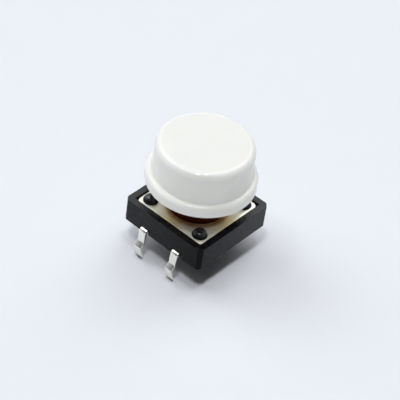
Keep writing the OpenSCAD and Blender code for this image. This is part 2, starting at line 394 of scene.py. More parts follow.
def slab(outlines, bottom, top, edge=0.0, edge_steps=3):
    """A flat piece of the given outlines, holes among them, with an edge rounded by a bevel."""
    curve = bpy.data.curves.new("slab", "CURVE")
    curve.dimensions, curve.fill_mode = "2D", "BOTH"
    curve.extrude = (top - bottom) / 2 - edge
    curve.bevel_depth, curve.offset = edge, -edge
    curve.bevel_resolution = edge_steps
    for outline in outlines:
        spline = curve.splines.new("POLY")
        spline.points.add(len(outline) - 1)
        for point, (x, y) in zip(spline.points, outline):
            point.co = (x, y, 0.0, 1.0)
        spline.use_cyclic_u = True
    mesh = evaluated_mesh(link(bpy.data.objects.new("slab", curve)))
    bpy.data.curves.remove(curve)
    mesh.transform(Matrix.Translation((0, 0, (top + bottom) / 2)))
    return edited(mesh, weld, face_outwards)


def frustum(half_bottom, half_top, bottom, top):
    """A square block whose sides slope."""
    mesh = bpy.data.meshes.new("frustum")
    corners = [(-1, -1), (1, -1), (1, 1), (-1, 1)]
    verts = [(x * h, y * h, z) for h, z in ((half_bottom, bottom), (half_top, top)) for x, y in corners]
    sides = [(i, (i + 1) % 4, (i + 1) % 4 + 4, i + 4) for i in range(4)]
    mesh.from_pydata(verts, [], [(3, 2, 1, 0), (4, 5, 6, 7), *sides])
    return mesh


def combined(base, *parts):
    """A mesh joined with, or cut by, others: each part is (operation, mesh)."""
    obj = link(bpy.data.objects.new("combined", base))
    tools = []
    for operation, mesh in parts:
        tool = link(bpy.data.objects.new("tool", mesh))
        tools.append(tool)
        modifier = obj.modifiers.new(operation, "BOOLEAN")
        modifier.operation, modifier.solver, modifier.object = operation, "EXACT", tool
    result = evaluated_mesh(obj)
    for tool in tools:
        bpy.data.objects.remove(tool)
    return edited(result, weld, face_outwards)


# ---------------------------------------------------------------- node trees

# Kinds of socket, by the type of the value that an input starts with
SOCKET_KINDS = {int: "Int", float: "Float", tuple: "Vector"}
# Steps in each bend along a strip's section
STRIP_EDGE_STEPS = 3


def give(tree, socket, value):
    """Gives an input a plain value, or links it to an output or to a node's first output."""
    if isinstance(value, bpy.types.Node):
        value = value.outputs[0]
    if isinstance(value, bpy.types.NodeSocket):
        tree.links.new(value, socket)
    else:
        socket.default_value = value


def add(tree, kind, values=None, **settings):
    """Adds a node, with its settings, and gives its inputs values or links them."""
    node = tree.nodes.new(kind)
    for name, value in settings.items():
        setattr(node, name, value)
    for key, value in (values or {}).items():
        give(tree, node.inputs[key], value)
    return node


def calc(tree, operation, a, b=0.0):
    """The result of an operation on one or two numbers."""
    return add(tree, "ShaderNodeMath", {0: a, 1: b}, operation=operation).outputs[0]


def times(tree, a, b):
    return calc(tree, "MULTIPLY", a, b)


def calc_vector(tree, operation, a, b=(0.0, 0.0, 0.0)):
    """The result of an operation on one or two vectors: a number for a length or a dot product."""
    node = add(tree, "ShaderNodeVectorMath", {0: a, 1: b}, operation=operation)
    return node.outputs["Value" if operation in {"LENGTH", "DOT_PRODUCT"} else "Vector"]


def parts_of(tree, vector):
    """Outputs with the X, Y and Z of a vector."""
    return add(tree, "ShaderNodeSeparateXYZ", {0: vector}).outputs


def new_tree(name, kind, inputs, outputs):
    """A node group, its inputs and its results. Each socket comes as a kind, or as the value that an
    input starts with."""
    tree = bpy.data.node_groups.new(name, kind)
    for in_out, sockets in (("INPUT", inputs), ("OUTPUT", outputs)):
        for label, value in sockets.items():
            socket_kind = SOCKET_KINDS.get(type(value), value)
            socket_type = f"NodeSocket{socket_kind}"
            socket = tree.interface.new_socket(name=label, in_out=in_out, socket_type=socket_type)
            if socket_kind != value:
                socket.default_value = value
    return tree, tree.nodes.new("NodeGroupInput").outputs, tree.nodes.new("NodeGroupOutput").inputs


def group(maker):
    """The node group that a maker builds, made once and named as its maker."""
    name = maker.__name__.replace("_", " ").capitalize()
    return bpy.data.node_groups.get(name) or maker(name)


def geometry_tree(name, **inputs):
    """A geometry tree with inputs of its own. Names use _ for spaces."""
    geometry = {"Geometry": "Geometry"}
    own = {label.replace("_", " "): value for label, value in inputs.items()}
    return new_tree(name, "GeometryNodeTree", {**geometry, **own, "Finish": "Material"}, geometry)


def close_tree(tree, given, result, geometry):
    """Ends a geometry tree in plain mesh with its finish."""
    real = add(tree, "GeometryNodeRealizeInstances", {"Geometry": geometry})
    done = add(tree, "GeometryNodeSetMaterial", {"Geometry": real, "Material": given["Finish"]})
    give(tree, result["Geometry"], done)
    return tree


def close_copies(tree, given, result, spots, **values):
    """Ends a geometry tree in copies of the piece at the given spots."""
    wanted = {"Points": spots, "Instance": given["Geometry"], **values}
    return close_tree(tree, given, result, add(tree, "GeometryNodeInstanceOnPoints", wanted))


def fillet(tree, curve, steps, radius):
    """A curve with its corners rounded."""
    values = {"Curve": curve, "Count": steps, "Radius": radius, "Limit Radius": True}
    return add(tree, "GeometryNodeFilletCurve", values, mode="POLY")


def turned_piece(name):
    """A profile, from axis to axis, turned round the upright axis."""
    tree, given, result = geometry_tree(name, Profile_points=2, Steps=CIRCLE_STEPS)
    points, steps = given["Profile points"], given["Steps"]
    columns = calc(tree, "ADD", steps, 1.0)
    grid = add(tree, "GeometryNodeMeshGrid", {"Vertices X": columns, "Vertices Y": points})
    index = add(tree, "GeometryNodeInputIndex").outputs[0]
    along = calc(tree, "FLOORED_MODULO", index, points)
    column = calc(tree, "FLOOR", calc(tree, "DIVIDE", index, points))
    turn = calc(tree, "DIVIDE", column, steps)
    position = add(tree, "GeometryNodeInputPosition")
    spot = {"Geometry": given["Geometry"], "Value": position, "Index": along}
    profile = add(tree, "GeometryNodeSampleIndex", spot, data_type="FLOAT_VECTOR")
    spin = {"Vector": profile, "Angle": times(tree, turn, math.tau)}
    placed = add(tree, "ShaderNodeVectorRotate", spin, rotation_type="Z_AXIS")
    moved = add(tree, "GeometryNodeSetPosition", {"Geometry": grid, "Position": placed})
    welded = add(tree, "GeometryNodeMergeByDistance", {"Geometry": moved, "Distance": WELD})
    return close_tree(tree, given, result, welded)


def at_four_corners(name):
    """The piece repeated at the four corners of a rectangle."""
    tree, given, result = geometry_tree(name, Distance_X=1.0, Distance_Y=1.0)
    sizes = {"Size X": given["Distance X"], "Size Y": given["Distance Y"]}
    spots = add(tree, "GeometryNodeMeshGrid", {**sizes, "Vertices X": 2, "Vertices Y": 2})
    return close_copies(tree, given, result, spots)


def round_the_axis(name):
    """The piece repeated at even turns about the upright axis."""
    tree, given, result = geometry_tree(name, Count=4, First_turn=0.0)
    count = given["Count"]
    spots = add(tree, "GeometryNodeMeshLine", {"Count": count, "Offset": (0.0, 0.0, 0.0)})
    part = calc(tree, "DIVIDE", add(tree, "GeometryNodeInputIndex"), count)
    turn = calc(tree, "ADD", times(tree, part, math.tau), given["First turn"])
    spin = add(tree, "ShaderNodeCombineXYZ", {"Z": turn})
    return close_copies(tree, given, result, spots, Rotation=spin)


def bent_strip(name):
    """A flat strip bent along a path in the XZ plane. The path's points carry their bend radius."""
    tree, given, result = geometry_tree(name, Width=1.0, Thickness=0.3, Edge_round=0.04, Bend_steps=8)
    path = add(tree, "GeometryNodeMeshToCurve", {"Mesh": given["Geometry"]})
    radius = add(tree, "GeometryNodeInputNamedAttribute", {"Name": "bend_radius"}, data_type="FLOAT")
    bent = fillet(tree, path, given["Bend steps"], radius)
    upright = add(
        tree, "GeometryNodeSetCurveNormal", {"Curve": bent, "Normal": (0.0, 1.0, 0.0)}, mode="FREE"
    )
    sides = {"Width": given["Width"], "Height": given["Thickness"]}
    section = add(tree, "GeometryNodeCurvePrimitiveQuadrilateral", sides)
    soft = fillet(tree, section, STRIP_EDGE_STEPS, given["Edge round"])
    swept = {"Curve": upright, "Profile Curve": soft, "Fill Caps": True}
    return close_tree(tree, given, result, add(tree, "GeometryNodeCurveToMesh", swept))


def run_tree(maker, mesh, finish, **values):
    """The plain mesh that a geometry tree makes of a mesh. Names in values use _ for spaces."""
    obj = link(bpy.data.objects.new("pattern", mesh))
    modifier = obj.modifiers.new("nodes", "NODES")
    modifier.node_group = group(maker)
    wanted = {name.replace("_", " "): value for name, value in values.items()}
    wanted["finish"] = finish
    for item in modifier.node_group.interface.items_tree:
        if item.item_type == "SOCKET" and item.in_out == "INPUT" and item.name.lower() in wanted:
            modifier[item.identifier] = wanted[item.name.lower()]
    return edited(evaluated_mesh(obj), weld, face_outwards)


def turned(profile, finish, steps=CIRCLE_STEPS):
    """A solid turned from a half section, given as (radius, height) from axis to axis."""
    mesh = bpy.data.meshes.new("profile")
    mesh.from_pydata([(r, 0.0, z) for r, z in profile], [(i, i + 1) for i in range(len(profile) - 1)], [])
    return run_tree(turned_piece, mesh, finish, profile_points=len(profile), steps=steps)


# ---------------------------------------------------------------- shared effects

# Turn of the surface, as a cosine, between which an edge counts as none and as full
EDGE_TURN = (0.995, 0.80)
# Noise that breaks up the worn edges: how fine it is for each metre, and the span that keeps them
EDGE_NOISE, EDGE_KEPT = 2600.0, (0.35, 0.62)
# Spans of slow mottling over which a colour turns into another, and a roughness varies
TONE_SPAN, ROUGH_SPAN = (0.35, 0.65), (0.3, 0.7)
# Colours of dust and of flecks, and of metal edges that are worn bright
DUST, FLECK = (0.03, 0.031, 0.033), (0.35, 0.33, 0.28)
PLATE_EDGE, TIN_EDGE = (0.97, 0.96, 0.93), (0.94, 0.94, 0.92)


def object_place(tree):
    return add(tree, "ShaderNodeTexCoord").outputs["Object"]


def surface_normal(tree):
    return add(tree, "ShaderNodeNewGeometry").outputs["Normal"]


def ramp(tree, value, span, result=(0.0, 1.0)):
    """A value brought from one span to another, and held there."""
    ends = {"From Min": span[0], "From Max": span[1], "To Min": result[0], "To Max": result[1]}
    return add(tree, "ShaderNodeMapRange", {"Value": value, **ends}).outputs["Result"]


def noise(tree, place, scale, detail=3.0):
    values = {"Vector": place, "Scale": scale, "Detail": detail}
    return add(tree, "ShaderNodeTexNoise", values).outputs["Fac"]


def mix_value(tree, factor, first, second):
    """Two numbers, or outputs that give numbers, mixed by a factor."""
    return add(tree, "ShaderNodeMix", {"Factor": factor, "A": first, "B": second}).outputs["Result"]


def mix_colour(tree, factor, first, second):
    """Two colours, or outputs that give colours, mixed by a factor."""
    node = add(tree, "ShaderNodeMix", {"Factor": factor}, data_type="RGBA")
    *ends, mixed = (socket for socket in (*node.inputs, *node.outputs) if socket.type == "RGBA")
    for socket, value in zip(ends, (first, second)):
        give(tree, socket, value if isinstance(value, bpy.types.NodeSocket) else (*value, 1.0))
    return mixed


def bumped(tree, height, distance):
    """A normal raised by a height, over a distance in metres."""
    values = {"Height": height, "Distance": distance, "Strength": 1.0}
    return add(tree, "ShaderNodeBump", values).outputs["Normal"]


def surface_grain(name):
    """Fine moulded grain and slow mottling, from two sizes given in metres."""
    inputs = {"Grain size": 0.0001, "Mottle size": 0.002, "Stretch": (1.0, 1.0, 1.0)}
    tree, given, result = new_tree(name, "ShaderNodeTree", inputs, {"Height": "Float", "Mottle": "Float"})
    place = calc_vector(tree, "MULTIPLY", object_place(tree), given["Stretch"])
    for size, output, detail in (("Grain size", "Height", 2.0), ("Mottle size", "Mottle", 4.0)):
        scale = calc(tree, "DIVIDE", 1.0, given[size])
        give(tree, result[output], noise(tree, place, scale, detail))
    return tree


def edge_mask(name):
    """A mask that rises along edges sharper than a given radius in metres, broken up by noise."""
    inputs = {"Radius": 0.0001, "Break up": 0.5}
    tree, given, result = new_tree(name, "ShaderNodeTree", inputs, {"Mask": "Float"})
    bevel = add(tree, "ShaderNodeBevel", {"Radius": given["Radius"]}, samples=6)
    facing = calc_vector(tree, "DOT_PRODUCT", bevel, surface_normal(tree))
    kept = ramp(tree, noise(tree, object_place(tree), EDGE_NOISE), EDGE_KEPT)
    broken = mix_value(tree, given["Break up"], 1.0, kept)
    give(tree, result["Mask"], times(tree, ramp(tree, facing, EDGE_TURN), broken))
    return tree


def specks(name):
    """A mask of small separate specks, such as dust or flecks, from their spacing in metres, their size
    as a share of it, and the share of the places that have one."""
    inputs = {"Spacing": 0.001, "Size": 0.1, "Share": 0.2}
    tree, given, result = new_tree(name, "ShaderNodeTree", inputs, {"Mask": "Float"})
    scale = calc(tree, "DIVIDE", 1.0, given["Spacing"])
    cells = add(tree, "ShaderNodeTexVoronoi", {"Vector": object_place(tree), "Scale": scale}).outputs
    inside = calc(tree, "LESS_THAN", cells["Distance"], given["Size"])
    pick = add(tree, "ShaderNodeSeparateColor", {"Color": cells["Color"]})
    chosen = calc(tree, "LESS_THAN", pick, given["Share"])
    give(tree, result["Mask"], times(tree, inside, chosen))
    return tree


def place_group(tree, maker, **values):
    """The outputs of a shader group placed with its own values. Names use _ for spaces."""
    node = add(tree, "ShaderNodeGroup", node_tree=group(maker))
    for key, value in values.items():
        node.inputs[key.replace("_", " ").capitalize()].default_value = value
    return node.outputs


def mottled(tree, grain, colour, other, span=TONE_SPAN):
    """A colour that turns slowly into another over a surface."""
    return mix_colour(tree, ramp(tree, grain["Mottle"], span), colour, other)


def varied(tree, mask, middle, less, more, span=ROUGH_SPAN):
    """A roughness that runs from a little less to a little more."""
    return ramp(tree, mask, span, (middle - less, middle + more))


# ---------------------------------------------------------------- finishes


def new_finish(maker):
    """The material whose shader values a maker gives, made once and named as its maker."""
    name = maker.__name__.replace("_", " ")
    if name in bpy.data.materials:
        return bpy.data.materials[name]
    material = bpy.data.materials.new(name)
    material.use_nodes = True
    tree = material.node_tree
    sockets = tree.nodes["Principled BSDF"].inputs
    for key, value in maker(tree, bpy.context.scene.switch_finishes).items():
        give(tree, sockets[key.replace("_", " ")], value)
    return material


def black_nylon(tree, tones):
    """Dusty black moulding, worn along its edges and dull on its cut corners. Its coat fades out towards
    the -X -Y corner, fully on the upper faces and partly on the sides, as painted shade in its
    reflections there; the formed heads of the posts keep a glossy coat of their own."""
    # Spans of x + y over which the painted sheen fades in on the upper faces and on the sides, and the
    # heights of the post heads
    upper_span, side_span, head_span = (-0.0066, -0.0020), (-0.012, -0.004), (0.00318, 0.00328)
    upward_span, slant_span, slant_roughness = (0.35, 0.7), (0.25, 0.45), 0.8
    upper_shine, side_shine, head_shine = 0.9, (0.1, 0.3), 0.8
    paler, worn_share, dust_share = 1.7, 0.4, 0.35
    grain = place_group(tree, surface_grain, grain_size=0.00007, mottle_size=0.0011)
    edges = place_group(tree, edge_mask, radius=0.00009, break_up=0.6)
    dust = place_group(tree, specks, spacing=0.0009, size=0.07, share=0.35)
    body = mottled(tree, grain, tones.nylon, Vector(tones.nylon) * paler)
    worn = mix_colour(tree, times(tree, edges["Mask"], worn_share), body, tones.nylon_worn)
    normal, place = surface_normal(tree), parts_of(tree, object_place(tree))
    # Painted shade: the coat weight grows with x + y, so reflections read darker towards the -X -Y corner
    back = calc(tree, "ADD", place[0], place[1])
    raised = ramp(tree, place[2], head_span, (0.0, head_shine))
    worn_and_painted_sheen = calc(tree, "MAXIMUM", ramp(tree, back, upper_span), raised)
    upward = ramp(tree, parts_of(tree, normal)[2], upward_span, (0.0, upper_shine))
    sideways = parts_of(tree, calc_vector(tree, "ABSOLUTE", normal))
    slanted = ramp(tree, times(tree, sideways[0], sideways[1]), slant_span)
    rough = varied(tree, grain["Mottle"], tones.nylon_roughness, 0.05, 0.06)
    shine = calc(tree, "MAXIMUM", times(tree, worn_and_painted_sheen, upward), ramp(tree, back, side_span, side_shine))
    return dict(
        Base_Color=mix_colour(tree, times(tree, dust["Mask"], dust_share), worn, DUST),
        Specular_IOR_Level=0.05,
        Roughness=mix_value(tree, slanted, rough, slant_roughness),
        Coat_Weight=shine,
        Coat_Roughness=0.25,
        Coat_IOR=1.5,
        Normal=bumped(tree, grain["Height"], 3e-6),
    )


def plated_sheet(tree, tones):
    """Satin plating with painted reflections: a warmer tint at the middle of each side for the golden
    reflection of the plunger and the cap's underside, and a brown, less metallic ring round the plunger's
    hole, set towards the -X -Y corner, for the plunger's brown reflection.
    """
    painted_gold_span, painted_ring_span = (0.0024, 0.0006), (0.0041, 0.0036)
    painted_ring_shift, flatten = (0.0003, 0.0003, 0.0), (1.0, 1.0, 0.0)
    painted_gold_patches, painted_ring_patches = ((0.25, 0.6), (0.5, 1.0)), ((0.3, 0.6), (0.6, 1.0))
    bright_metal, painted_reflection_metal = 0.65, 0.4
    grain = place_group(
        tree, surface_grain, grain_size=0.00008, mottle_size=0.0016, stretch=(0.5, 1.3, 1.0)
    )
    edges = place_group(tree, edge_mask, radius=0.00008, break_up=0.1)
    place = object_place(tree)
    axes = parts_of(tree, calc_vector(tree, "ABSOLUTE", place))
    # Painted reflection: warmer gold towards the middle of each side, in patches
    mid_side = ramp(tree, calc(tree, "MINIMUM", axes[0], axes[1]), painted_gold_span)
    painted_gold = times(tree, mid_side, ramp(tree, grain["Mottle"], *painted_gold_patches))
    body = mix_colour(tree, painted_gold, tones.plate, tones.plate_warm)
    # Painted reflection: a brown, less metallic ring round the hole, centred a little towards the -X -Y
    # corner
    moved = calc_vector(tree, "ADD", place, painted_ring_shift)
    reach = calc_vector(tree, "LENGTH", calc_vector(tree, "MULTIPLY", moved, flatten))
    painted_ring = times(tree, ramp(tree, reach, painted_ring_span), ramp(tree, grain["Mottle"], *painted_ring_patches))
    with_painted_reflection = mix_colour(tree, painted_ring, body, tones.plate_painted_reflection)
    return dict(
        Base_Color=mix_colour(tree, edges["Mask"], with_painted_reflection, PLATE_EDGE),
        Metallic=ramp(tree, painted_ring, (0.0, 1.0), (bright_metal, painted_reflection_metal)),
        Roughness=varied(tree, grain["Mottle"], tones.plate_roughness, 0.02, 0.03),
        Normal=bumped(tree, grain["Height"], 2e-7),
    )


def brown_moulding(tree, tones):
    """Red-brown moulding with a satin gloss."""
    paler = 1.5
    grain = place_group(tree, surface_grain, grain_size=0.00009, mottle_size=0.0012)
    return dict(
        Base_Color=mottled(tree, grain, tones.brown, Vector(tones.brown) * paler),
        Roughness=varied(tree, grain["Mottle"], tones.brown_roughness, 0.0, 0.08),
        Specular_IOR_Level=0.1,
        Normal=bumped(tree, grain["Height"], 1.5e-6),
    )


def white_moulding(tree, tones):
    """Glossy white moulding with a few faint flecks, which lets a little light through."""
    shade_span, fleck_share = (0.35, 0.7), 0.45
    grain = place_group(tree, surface_grain, grain_size=0.00016, mottle_size=0.003)
    flecks = place_group(tree, specks, spacing=0.0026, size=0.018, share=0.3)
    body = mottled(tree, grain, tones.white, tones.white_shade, shade_span)
    return dict(
        Base_Color=mix_colour(tree, times(tree, flecks["Mask"], fleck_share), body, FLECK),
        Subsurface_Weight=0.6,
        Subsurface_Radius=(1.0, 0.9, 0.75),
        Subsurface_Scale=0.0005,
        Roughness=varied(tree, grain["Mottle"], tones.white_roughness, 0.02, 0.02),
        Normal=bumped(tree, grain["Height"], 1.5e-7),
    )


def bright_tin(tree, tones):
    """Tinned metal with rubbed edges; the downward cut ends at the tips are bare metal, painted dark for
    the shade there.
    """
    dull_span, cut_facing, tip_span = (0.4, 0.6), (-0.38, -0.46), (-0.0030, -0.0032)
    grain = place_group(tree, surface_grain, grain_size=0.00012, mottle_size=0.0006)
    edges = place_group(tree, edge_mask, radius=0.00006, break_up=0.3)
    body = mottled(tree, grain, tones.tin, tones.tin_dull, dull_span)
    worn_and_painted_sheen = mix_colour(tree, edges["Mask"], body, TIN_EDGE)
    # Partly painted shade: downward cut ends near the tips take a dark colour, darker than bare metal
    cut_end = ramp(tree, parts_of(tree, surface_normal(tree))[2], cut_facing)
    near_tip = ramp(tree, parts_of(tree, object_place(tree))[2], tip_span)
    return dict(
        Base_Color=mix_colour(tree, times(tree, cut_end, near_tip), worn_and_painted_sheen, tones.bare_steel),
        Metallic=1.0,
        Roughness=varied(tree, grain["Mottle"], tones.tin_roughness, 0.0, 0.1, TONE_SPAN),
        Normal=bumped(tree, grain["Height"], 2.5e-6),
    )


def spring_steel(tree, tones):
    """Bright steel with fine lines along the sheet."""
    deeper = 0.85
    grain = place_group(
        tree, surface_grain, grain_size=0.00005, mottle_size=0.001, stretch=(0.3, 2.0, 1.0)
    )
    return dict(
        Base_Color=mottled(tree, grain, tones.steel, Vector(tones.steel) * deeper),
        Metallic=1.0,
        Roughness=varied(tree, grain["Height"], tones.steel_roughness, 0.0, 0.1),
        Normal=bumped(tree, grain["Height"], 1e-6),
    )


def pale_paper(tree, tones):
    """Matt pale paper with a faint tooth."""
    pale, deeper = bpy.context.scene.switch_stage.floor_colour, 0.985
    grain = place_group(tree, surface_grain, grain_size=0.00025, mottle_size=0.004)
    return dict(
        Base_Color=mix_colour(tree, grain["Mottle"], pale, Vector(pale) * deeper),
        Roughness=0.9,
        Specular_IOR_Level=0.0,
        Normal=bumped(tree, grain["Height"], 4e-6),
    )


# ---------------------------------------------------------------- pieces


def finished_piece(name, mesh, finish, body, nodes):
    """Brings a mesh to metres, shades it, and puts it on its body in place of its CAD nodes."""
    mesh.name = name
    mesh.transform(Matrix.Scale(METRES_PER_MM, 4))
    mesh.materials.clear()
    mesh.materials.append(finish)
    mesh.polygons.foreach_set("material_index", [0] * len(mesh.polygons))
    mesh.shade_smooth()
    mesh.set_sharp_from_angle(angle=CRISP_ANGLE)
    obj = link(bpy.data.objects.new(name, mesh))
    weighted = obj.modifiers.new("even shading", "WEIGHTED_NORMAL")
    weighted.keep_sharp = True
    obj = link(bpy.data.objects.new(name, evaluated_mesh(obj)))
    obj.data.name = name
    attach(obj, body)
    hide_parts(*nodes)
    return obj


def with_each(operation, meshes):
    """Steps that join or cut a piece with each mesh in turn."""
    return [(operation, mesh) for mesh in meshes]


def post_profile(s):
    """Half section of a post with its formed head, from the cover's underside up."""
    seat, side_top = COVER_HIGH.z, COVER_HIGH.z + s.head_side
    head, shank, soft = s.head_diameter / 2, s.post_diameter / 2, s.head_side / 2
    sphere = (head**2 + s.head_crown**2) / (2 * s.head_crown)
    half_angle = math.degrees(math.asin(head / sphere))
    dome = arc(0, side_top + s.head_crown - sphere, sphere, 90 - half_angle, 90, ROUND_STEPS * 3)
    foot = arc(head - soft, seat + soft, soft, -90, 0)
    bottom = COVER_LOW.z - PAST
    return [(0, bottom), (shank, bottom), (shank, seat), *foot, *dome[:-1], (0, dome[-1][1])]


class SWITCH_OT_housing(bpy.types.Operator):
    """Make the moulded housing with its rim, chamber, notches and formed posts"""

    bl_idname = "switch.housing"
    bl_label = "Housing"

    def execute(self, context):
        s = in_mm(context.scene.switch_housing)
        finish = new_finish(black_nylon)
        half, cut = s.width / 2, s.width / 2 - s.corner_cut
        plan = [(half, -cut), (half, cut), (cut, half), (-cut, half)]
        plan += [(-half, cut), (-half, -cut), (-cut, -half), (cut, -half)]
        block = slab([softened(plan, s.corner_soft)], 0.0, s.height, s.edge_round)

        inner, floor = half - s.rim, COVER_LOW.z
        recess = frustum(inner, inner, floor, s.height - s.rim_chamfer)
        lip = frustum(inner, inner + s.rim_chamfer + PAST, s.height - s.rim_chamfer, s.height + PAST)
        chamber = slab([circle(0, 0, s.cavity_radius)], s.cavity_floor, floor + PAST_INSIDE)
        reach, slot = s.slot_reach, s.slot_width / 2
        slots = slab([rectangle(-reach, -slot, reach, slot)], s.cavity_floor, floor + PAST_INSIDE)
        pocket = slab([circle(0, 0, s.pocket_radius)], s.pocket_floor, s.cavity_floor + PAST_INSIDE)

        corner = min(s.notch_width, s.notch_depth) / 4
        width = s.notch_width / 2
        opening = softened(rectangle(-width, -PAST, width, s.notch_top), corner, ROUND_STEPS)
        notch = slab([opening], -s.notch_depth, s.notch_depth)
        # Stood on end, so that its outline faces the sides that carry the leads
        notch.transform(Matrix(((0, 0, 1, 0), (1, 0, 0, 0), (0, 1, 0, 0), (0, 0, 0, 1))))
        pitch = mm(context.scene.switch_leads.pitch)
        notches = run_tree(at_four_corners, notch, finish, distance_x=s.width, distance_y=pitch)

        post, apart = turned(post_profile(s), finish, SMALL_STEPS), 2 * s.post_place
        posts = run_tree(at_four_corners, post, finish, distance_x=apart, distance_y=apart)
        low, high = s.pocket_floor - PAST_INSIDE, s.pocket_floor + s.rest_rise
        radius = mm(context.scene.switch_leads.land_diameter) / 2
        rest = slab([circle(s.rest_place, 0, radius, SMALL_STEPS)], low, high, LAND_ROUND)
        rests = run_tree(round_the_axis, rest, finish, count=2, first_turn=math.pi / 2)

        hollows = [recess, lip, chamber, slots, pocket, notches]
        strips = [terminal_mesh(context, which, finish) for which in ("centre", "outer")]
        steps = [*with_each("DIFFERENCE", hollows), *with_each("UNION", [posts, rests])]
        moulded = combined(block, *steps, *with_each("DIFFERENCE", strips))
        finished_piece("moulded_housing", moulded, finish, "base", ["housing"])
        return {"FINISHED"}


class SWITCH_OT_cover(bpy.types.Operator):
    """Make the stamped metal cover with its plunger hole and four post holes"""

    bl_idname = "switch.cover"
    bl_label = "Cover"

    def execute(self, context):
        s = in_mm(context.scene.switch_cover)
        place = mm(context.scene.switch_housing.post_place)
        outlines = [rounded_rectangle(s.width / 2, s.width / 2, s.corner_radius, ROUND_STEPS * 2)]
        outlines.append(circle(0, 0, s.hole_radius))
        for x in (-place, place):
            for y in (-place, place):
                outlines.append(circle(x, y, s.post_hole / 2, SMALL_STEPS))
        mesh = slab(outlines, COVER_LOW.z, COVER_HIGH.z, s.edge_round, edge_steps=4)
        finish = new_finish(plated_sheet)
        finished_piece("stamped_cover", mesh, finish, "base", ["cover"])
        return {"FINISHED"}


class SWITCH_OT_plunger(bpy.types.Operator):
    """Make the plunger with its nub, flange, lugs, boss and square stem"""

    bl_idname = "switch.plunger"
    bl_label = "Plunger"

    def execute(self, context):
        s = in_mm(context.scene.switch_plunger)
        finish = new_finish(brown_moulding)
        soft, r = s.edge_round, s.boss_radius
        profile = [(0, PLUNGER_LOW.z)]
        profile += arc(s.nub_radius - soft, PLUNGER_LOW.z + soft, soft, -90, 0)
        profile += [(s.nub_radius, s.flange_bottom)]
        profile += arc(s.flange_radius - soft, s.flange_bottom + soft, soft, -90, 0)
        profile += arc(s.flange_radius - soft, s.flange_top - soft, soft, 0, 90)
        profile += [(r, s.flange_top)]
        profile += arc(r - s.boss_round, s.boss_top - s.boss_round, s.boss_round, 0, 90)
        profile += [(0, s.boss_top)]
        body = turned(profile, finish)
        lug_plan = rectangle(r, -s.lug_width / 2, s.lug_reach, s.lug_width / 2)
        lug = slab([lug_plan], s.flange_bottom, s.flange_top, soft)
        lugs = run_tree(round_the_axis, lug, finish, count=2, first_turn=0.0)
        half = s.stem_width / 2
        stem_plan = rounded_rectangle(half, half, s.stem_corner)
        stem = slab([stem_plan], s.boss_top - PAST, PLUNGER_HIGH.z, soft * 2)
        mesh = combined(body, *with_each("UNION", [lugs, stem]))
        finished_piece("sprung_plunger", mesh, finish, "button", ["plunger"])
        return {"FINISHED"}


class SWITCH_OT_cap(bpy.types.Operator):
    """Make the round key cap with its flange, socket neck and inner ribs"""

    bl_idname = "switch.cap"
    bl_label = "Key cap"

    def execute(self, context):
        s = in_mm(context.scene.switch_cap)
        finish = new_finish(white_moulding)
        top, flange_top, step = CAP_HIGH.z, s.foot + s.flange_height, s.foot + s.step
        ceiling = top - s.ceiling
        profile = [(0, ceiling), (s.bore_radius, ceiling), (s.bore_radius, step)]
        profile += [(s.flange_bore, step - (s.flange_bore - s.bore_radius)), (s.flange_bore, s.foot)]
        profile += arc(s.flange_radius - s.foot_round, s.foot + s.foot_round, s.foot_round, -90, 0)
        flange_z = flange_top - s.flange_round
        profile += arc(s.flange_radius - s.flange_round, flange_z, s.flange_round, 0, 90, ROUND_STEPS * 2)
        profile += arc(s.side_radius + s.inner_round, flange_top + s.inner_round, s.inner_round, 270, 180)
        profile += arc(s.top_radius - s.top_round, top - s.top_round, s.top_round, 0, 90, ROUND_STEPS * 2)
        profile += [(0, top)]
        shell = turned(profile, finish, CIRCLE_STEPS * 3 // 2)
        half, inside = s.neck_width / 2, ceiling + s.ceiling / 2
        neck = slab([rounded_rectangle(half, half, s.neck_corner)], CAP_LOW.z, inside, NECK_ROUND)
        inset = s.bore_radius + (s.flange_radius - s.flange_bore) / 2
        rib = slab([rectangle(half - PAST, -s.rib_width / 2, inset, s.rib_width / 2)], step, inside)
        ribs = run_tree(round_the_axis, rib, finish, count=s.ribs, first_turn=0.0)
        corner = mm(context.scene.switch_plunger.stem_corner)
        half_socket = s.socket_width / 2
        socket = slab([rounded_rectangle(half_socket, half_socket, corner)], CAP_LOW.z - PAST, ceiling)
        mesh = combined(shell, *with_each("UNION", [neck, ribs]), ("DIFFERENCE", socket))
        finished_piece("key_cap", mesh, finish, "button", ["cap"])
        return {"FINISHED"}


class SWITCH_OT_contact_dome(bpy.types.Operator):
    """Make the sprung contact dome"""

    bl_idname = "switch.contact_dome"
    bl_label = "Contact dome"

    def execute(self, context):
        s = in_mm(context.scene.switch_dome)
        finish = new_finish(spring_steel)
        sphere = (s.radius**2 + s.rise**2) / (2 * s.rise)
        half_angle = math.degrees(math.asin(s.radius / sphere))
        centre = DOME_HIGH.z - s.thickness - sphere
        profile = arc(0, centre, sphere, 90, 90 - half_angle, DOME_STEPS)
        profile += arc(0, centre, sphere + s.thickness, 90 - half_angle, 90, DOME_STEPS)
        profile[0], profile[-1] = (0.0, profile[0][1]), (0.0, profile[-1][1])
        mesh = turned(profile, finish)
        dome = finished_piece("snap_dome", mesh, finish, "base", ["contact_dome"])
        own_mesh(dome)
        return {"FINISHED"}


def strip_path(s):
    """Path of a strip from tip to tip in the XZ plane, with the bend radius at each point."""
    tip_x = s.reach + s.lean
    half = [
        (s.reach, s.middle, s.bend_radius),
        (tip_x, -s.kink_depth + s.kink_run, s.kink_radius),
        (s.reach + s.kink_out, -s.kink_depth, s.kink_radius),
        (tip_x, -s.drop, 0.0),
    ]
    return [(-x, z, r) for x, z, r in reversed(half)] + half


